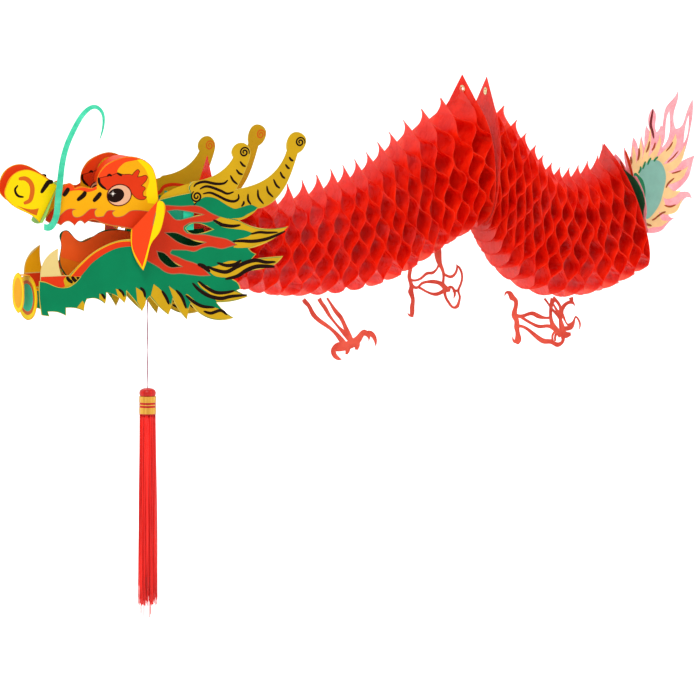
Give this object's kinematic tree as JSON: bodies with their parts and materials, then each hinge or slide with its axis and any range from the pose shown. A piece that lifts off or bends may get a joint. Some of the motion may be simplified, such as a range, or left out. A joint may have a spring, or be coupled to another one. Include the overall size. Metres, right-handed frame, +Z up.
{
  "type": "hanging dragon garland",
  "caption": "Hanging honeycomb dragon with a slotted card head, a folding accordion body hinged at the hump, film feet, a flame tail and a tassel.",
  "frame": {"origin": "centre of the front eyelet at the top of the hump", "axes": "+Z up as it hangs, the head faces -X, the tail is at +X, the dragon's left side is -Y"},
  "size_m": [0.9735, 0.1216, 0.6437],
  "materials": {
    "film": "satin",
    "film_board": "satin",
    "foot_film": "satin",
    "yellow_card": "gloss",
    "green_card": "gloss",
    "red_card": "gloss",
    "cream_card": "gloss",
    "green_film": "gloss",
    "tail_film": "gloss",
    "eyelet_metal": "polished",
    "pink_thread": "matte",
    "red_cap": "matte",
    "gold_thread": "satin",
    "red_thread": "matte"
  },
  "bodies": {
    "ridge": {"ridge_board_front": "film_board", "ridge_eyelet_front": "eyelet_metal"},
    "front_pair_16": {"front_leaf_16": "film"},
    "front_pair_15": {"front_leaf_15": "film"},
    "front_pair_14": {"front_leaf_14": "film"},
    "front_pair_13": {"front_leaf_13": "film"},
    "front_pair_12": {"front_leaf_12": "film"},
    "front_pair_11": {"front_leaf_11": "film"},
    "front_pair_10": {"front_leaf_10": "film"},
    "front_pair_09": {"front_leaf_09": "film"},
    "front_pair_08": {"front_leaf_08": "film"},
    "front_pair_07": {"front_leaf_07": "film"},
    "front_pair_06": {"front_leaf_06": "film"},
    "front_pair_05": {"front_leaf_05": "film"},
    "front_pair_04": {"front_leaf_04": "film"},
    "front_pair_03": {"front_leaf_03": "film"},
    "front_pair_02": {"front_leaf_02": "film"},
    "front_pair_01": {"front_leaf_01": "film"},
    "head": {"neck_board": "film_board", "side_card_left": "green_card", "side_card_right": "green_card", "face_card_left": "yellow_card", "face_card_right": "yellow_card", "crown_band": "red_card", "nose_card_left": "yellow_card", "nose_card_right": "yellow_card", "snout_plate": "yellow_card", "cheek_left": "red_card", "cheek_right": "red_card", "tongue_card": "red_card", "chin_plate_front": "yellow_card", "chin_plate_rear": "yellow_card", "fangs": "cream_card", "neck_brace": "green_card"},
    "ridge_rear": {"ridge_board_rear": "film_board", "ridge_eyelet_rear": "eyelet_metal"},
    "rear_pair_01": {"rear_leaf_01": "film"},
    "rear_pair_02": {"rear_leaf_02": "film"},
    "rear_pair_03": {"rear_leaf_03": "film"},
    "rear_pair_04": {"rear_leaf_04": "film"},
    "rear_pair_05": {"rear_leaf_05": "film"},
    "rear_pair_06": {"rear_leaf_06": "film"},
    "rear_pair_07": {"rear_leaf_07": "film"},
    "rear_pair_08": {"rear_leaf_08": "film"},
    "rear_pair_09": {"rear_leaf_09": "film"},
    "rear_pair_10": {"rear_leaf_10": "film"},
    "rear_pair_11": {"rear_leaf_11": "film"},
    "tail": {"tail_board": "film_board"},
    "tail_flame": {"tail_flame_main": "tail_film", "tail_flame_cross": "tail_film"},
    "whisker": {"whisker": "green_film"},
    "cord": {"tassel_cord": "pink_thread"},
    "tassel": {"tassel_cap": "red_cap", "tassel_bands": "gold_thread", "tassel_skirt": "red_thread"},
    "foot_front_left": {"foot_front_left": "foot_film"},
    "foot_front_right": {"foot_front_right": "foot_film"},
    "foot_rear_left": {"foot_rear_left": "foot_film"},
    "foot_rear_right": {"foot_rear_right": "foot_film"}
  },
  "joints": [
    {"name": "front_flex_16_17", "type": "hinge", "parent": "ridge", "child": "front_pair_16", "pos_m": [-0.00567, 0.00055, -0.09904], "axis": [0, 1, 0], "range_deg": [-6, 6], "stiffness_Nm_per_rad": 10},
    {"name": "front_fold_15_16", "type": "slide", "parent": "front_pair_16", "child": "front_pair_15", "axis": [0.8955, 0, 0.4451], "range_m": [-0.0023, 0.0097], "stiffness_N_per_m": 300},
    {"name": "front_fold_14_15", "type": "slide", "parent": "front_pair_15", "child": "front_pair_14", "axis": [0.875, 0, 0.4841], "range_m": [-0.0023, 0.0097], "stiffness_N_per_m": 300},
    {"name": "front_fold_13_14", "type": "slide", "parent": "front_pair_14", "child": "front_pair_13", "axis": [0.8475, 0, 0.5308], "range_m": [-0.0023, 0.0097], "stiffness_N_per_m": 300},
    {"name": "front_fold_12_13", "type": "slide", "parent": "front_pair_13", "child": "front_pair_12", "axis": [0.8345, 0, 0.551], "range_m": [-0.0023, 0.0097], "stiffness_N_per_m": 300},
    {"name": "front_flex_11_12", "type": "hinge", "parent": "front_pair_12", "child": "front_pair_11", "pos_m": [-0.10567, 0, -0.1563], "axis": [0, 1, 0], "range_deg": [-6, 6], "stiffness_Nm_per_rad": 10},
    {"name": "front_fold_10_11", "type": "slide", "parent": "front_pair_11", "child": "front_pair_10", "axis": [0.9299, 0, 0.3677], "range_m": [-0.0023, 0.0097], "stiffness_N_per_m": 300},
    {"name": "front_fold_09_10", "type": "slide", "parent": "front_pair_10", "child": "front_pair_09", "axis": [0.9709, 0, 0.2397], "range_m": [-0.0023, 0.0097], "stiffness_N_per_m": 300},
    {"name": "front_flex_08_09", "type": "hinge", "parent": "front_pair_09", "child": "front_pair_08", "pos_m": [-0.17077, 0, -0.17802], "axis": [0, 1, 0], "range_deg": [-6, 6], "stiffness_Nm_per_rad": 10},
    {"name": "front_fold_07_08", "type": "slide", "parent": "front_pair_08", "child": "front_pair_07", "axis": [0.9882, 0, 0.1531], "range_m": [-0.0023, 0.0097], "stiffness_N_per_m": 300},
    {"name": "front_fold_06_07", "type": "slide", "parent": "front_pair_07", "child": "front_pair_06", "axis": [0.9924, 0, 0.123], "range_m": [-0.0023, 0.0097], "stiffness_N_per_m": 300},
    {"name": "front_fold_05_06", "type": "slide", "parent": "front_pair_06", "child": "front_pair_05", "axis": [0.9977, 0, 0.0685], "range_m": [-0.0023, 0.0097], "stiffness_N_per_m": 300},
    {"name": "front_fold_04_05", "type": "slide", "parent": "front_pair_05", "child": "front_pair_04", "axis": [1, 0, -0.0077], "range_m": [-0.0023, 0.0097], "stiffness_N_per_m": 300},
    {"name": "front_flex_03_04", "type": "hinge", "parent": "front_pair_04", "child": "front_pair_03", "pos_m": [-0.28526, 0, -0.18667], "axis": [0, 1, 0], "range_deg": [-6, 6], "stiffness_Nm_per_rad": 10},
    {"name": "front_fold_02_03", "type": "slide", "parent": "front_pair_03", "child": "front_pair_02", "axis": [0.9805, 0, -0.1965], "range_m": [-0.0023, 0.0097], "stiffness_N_per_m": 300},
    {"name": "front_fold_01_02", "type": "slide", "parent": "front_pair_02", "child": "front_pair_01", "axis": [0.951, 0, -0.3091], "range_m": [-0.0023, 0.0097], "stiffness_N_per_m": 300},
    {"name": "front_fold_00_01", "type": "slide", "parent": "front_pair_01", "child": "head", "axis": [0.9025, 0, -0.4307], "range_m": [-0.0023, 0.0097], "stiffness_N_per_m": 300},
    {"name": "ridge_hinge", "type": "hinge", "parent": "ridge", "child": "ridge_rear", "pos_m": [0.0131, 0, -0.1765], "axis": [0, 1, 0], "range_deg": [0, 12], "stiffness_Nm_per_rad": 10},
    {"name": "rear_flex_00_01", "type": "hinge", "parent": "ridge_rear", "child": "rear_pair_01", "pos_m": [0.03264, 0, -0.10391], "axis": [0, 1, 0], "range_deg": [-6, 4], "stiffness_Nm_per_rad": 10},
    {"name": "rear_fold_01_02", "type": "slide", "parent": "rear_pair_01", "child": "rear_pair_02", "axis": [-0.5834, 0, 0.8122], "range_m": [-0.0021, 0.0087], "stiffness_N_per_m": 300},
    {"name": "rear_fold_02_03", "type": "slide", "parent": "rear_pair_02", "child": "rear_pair_03", "axis": [-0.5786, 0, 0.8156], "range_m": [-0.0021, 0.0087], "stiffness_N_per_m": 300},
    {"name": "rear_fold_03_04", "type": "slide", "parent": "rear_pair_03", "child": "rear_pair_04", "axis": [-0.6315, 0, 0.7754], "range_m": [-0.0021, 0.0087], "stiffness_N_per_m": 300},
    {"name": "rear_flex_04_05", "type": "hinge", "parent": "rear_pair_04", "child": "rear_pair_05", "pos_m": [0.08389, 0, -0.16858], "axis": [0, 1, 0], "range_deg": [-6, 4], "stiffness_Nm_per_rad": 10},
    {"name": "rear_fold_05_06", "type": "slide", "parent": "rear_pair_05", "child": "rear_pair_06", "axis": [-0.8498, 0, 0.5272], "range_m": [-0.0021, 0.0087], "stiffness_N_per_m": 300},
    {"name": "rear_fold_06_07", "type": "slide", "parent": "rear_pair_06", "child": "rear_pair_07", "axis": [-0.9559, 0, 0.2937], "range_m": [-0.0021, 0.0087], "stiffness_N_per_m": 300},
    {"name": "rear_fold_07_08", "type": "slide", "parent": "rear_pair_07", "child": "rear_pair_08", "axis": [-0.9979, 0, 0.0652], "range_m": [-0.0021, 0.0087], "stiffness_N_per_m": 300},
    {"name": "rear_fold_08_09", "type": "slide", "parent": "rear_pair_08", "child": "rear_pair_09", "axis": [-0.9914, 0, -0.1311], "range_m": [-0.0021, 0.0087], "stiffness_N_per_m": 300},
    {"name": "rear_flex_09_10", "type": "hinge", "parent": "rear_pair_09", "child": "rear_pair_10", "pos_m": [0.17964, 0, -0.18832], "axis": [0, 1, 0], "range_deg": [-6, 4], "stiffness_Nm_per_rad": 10},
    {"name": "rear_fold_10_11", "type": "slide", "parent": "rear_pair_10", "child": "rear_pair_11", "axis": [-0.9233, 0, -0.3842], "range_m": [-0.0021, 0.0087], "stiffness_N_per_m": 300},
    {"name": "rear_fold_11_12", "type": "slide", "parent": "rear_pair_11", "child": "tail", "axis": [-0.8884, 0, -0.4591], "range_m": [-0.0021, 0.0087], "stiffness_N_per_m": 300},
    {"name": "tail_sway", "type": "hinge", "parent": "tail", "child": "tail_flame", "pos_m": [0.227, 0, -0.168], "axis": [-0.2924, 0, 0.9563], "range_deg": [-8, 8], "stiffness_Nm_per_rad": 0.05},
    {"name": "whisker_sway", "type": "hinge", "parent": "head", "child": "whisker", "pos_m": [-0.592, -0.02, -0.143], "axis": [0, 1, 0], "range_deg": [-15, 10], "stiffness_Nm_per_rad": 0.05},
    {"name": "cord_swing", "type": "hinge", "parent": "head", "child": "cord", "pos_m": [-0.442, 0, -0.202], "axis": [0, 1, 0], "range_deg": [-25, 25]},
    {"name": "tassel_swing", "type": "hinge", "parent": "cord", "child": "tassel", "pos_m": [-0.442, 0, -0.3554], "axis": [1, 0, 0], "range_deg": [-30, 30]},
    {"name": "foot_front_left_flap", "type": "hinge", "parent": "front_pair_06", "child": "foot_front_left", "pos_m": [-0.22, -0.016, -0.253], "axis": [1, 0, 0], "range_deg": [-25, 8], "stiffness_Nm_per_rad": 0.02},
    {"name": "foot_front_right_flap", "type": "hinge", "parent": "front_pair_14", "child": "foot_front_right", "pos_m": [-0.046, 0.016, -0.218], "axis": [1, 0, 0], "range_deg": [-8, 25], "stiffness_Nm_per_rad": 0.02},
    {"name": "foot_rear_left_flap", "type": "hinge", "parent": "rear_pair_07", "child": "foot_rear_left", "pos_m": [0.138, -0.016, -0.269], "axis": [1, 0, 0], "range_deg": [-25, 8], "stiffness_Nm_per_rad": 0.02},
    {"name": "foot_rear_right_flap", "type": "hinge", "parent": "rear_pair_07", "child": "foot_rear_right", "pos_m": [0.138, 0.016, -0.272], "axis": [1, 0, 0], "range_deg": [-8, 25], "stiffness_Nm_per_rad": 0.02}
  ],
  "couplings": [
    {"joint": "front_fold_14_15", "follows": "front_fold_15_16", "ratio": 1},
    {"joint": "front_fold_13_14", "follows": "front_fold_15_16", "ratio": 1},
    {"joint": "front_fold_12_13", "follows": "front_fold_15_16", "ratio": 1},
    {"joint": "front_flex_11_12", "follows": "front_flex_16_17", "ratio": 1},
    {"joint": "front_fold_10_11", "follows": "front_fold_15_16", "ratio": 1},
    {"joint": "front_fold_09_10", "follows": "front_fold_15_16", "ratio": 1},
    {"joint": "front_flex_08_09", "follows": "front_flex_16_17", "ratio": 1},
    {"joint": "front_fold_07_08", "follows": "front_fold_15_16", "ratio": 1},
    {"joint": "front_fold_06_07", "follows": "front_fold_15_16", "ratio": 1},
    {"joint": "front_fold_05_06", "follows": "front_fold_15_16", "ratio": 1},
    {"joint": "front_fold_04_05", "follows": "front_fold_15_16", "ratio": 1},
    {"joint": "front_flex_03_04", "follows": "front_flex_16_17", "ratio": 1},
    {"joint": "front_fold_02_03", "follows": "front_fold_15_16", "ratio": 1},
    {"joint": "front_fold_01_02", "follows": "front_fold_15_16", "ratio": 1},
    {"joint": "front_fold_00_01", "follows": "front_fold_15_16", "ratio": 1},
    {"joint": "rear_fold_02_03", "follows": "rear_fold_01_02", "ratio": 1},
    {"joint": "rear_fold_03_04", "follows": "rear_fold_01_02", "ratio": 1},
    {"joint": "rear_flex_04_05", "follows": "rear_flex_00_01", "ratio": 1},
    {"joint": "rear_fold_05_06", "follows": "rear_fold_01_02", "ratio": 1},
    {"joint": "rear_fold_06_07", "follows": "rear_fold_01_02", "ratio": 1},
    {"joint": "rear_fold_07_08", "follows": "rear_fold_01_02", "ratio": 1},
    {"joint": "rear_fold_08_09", "follows": "rear_fold_01_02", "ratio": 1},
    {"joint": "rear_flex_09_10", "follows": "rear_flex_00_01", "ratio": 1},
    {"joint": "rear_fold_10_11", "follows": "rear_fold_01_02", "ratio": 1},
    {"joint": "rear_fold_11_12", "follows": "rear_fold_01_02", "ratio": 1}
  ]
}
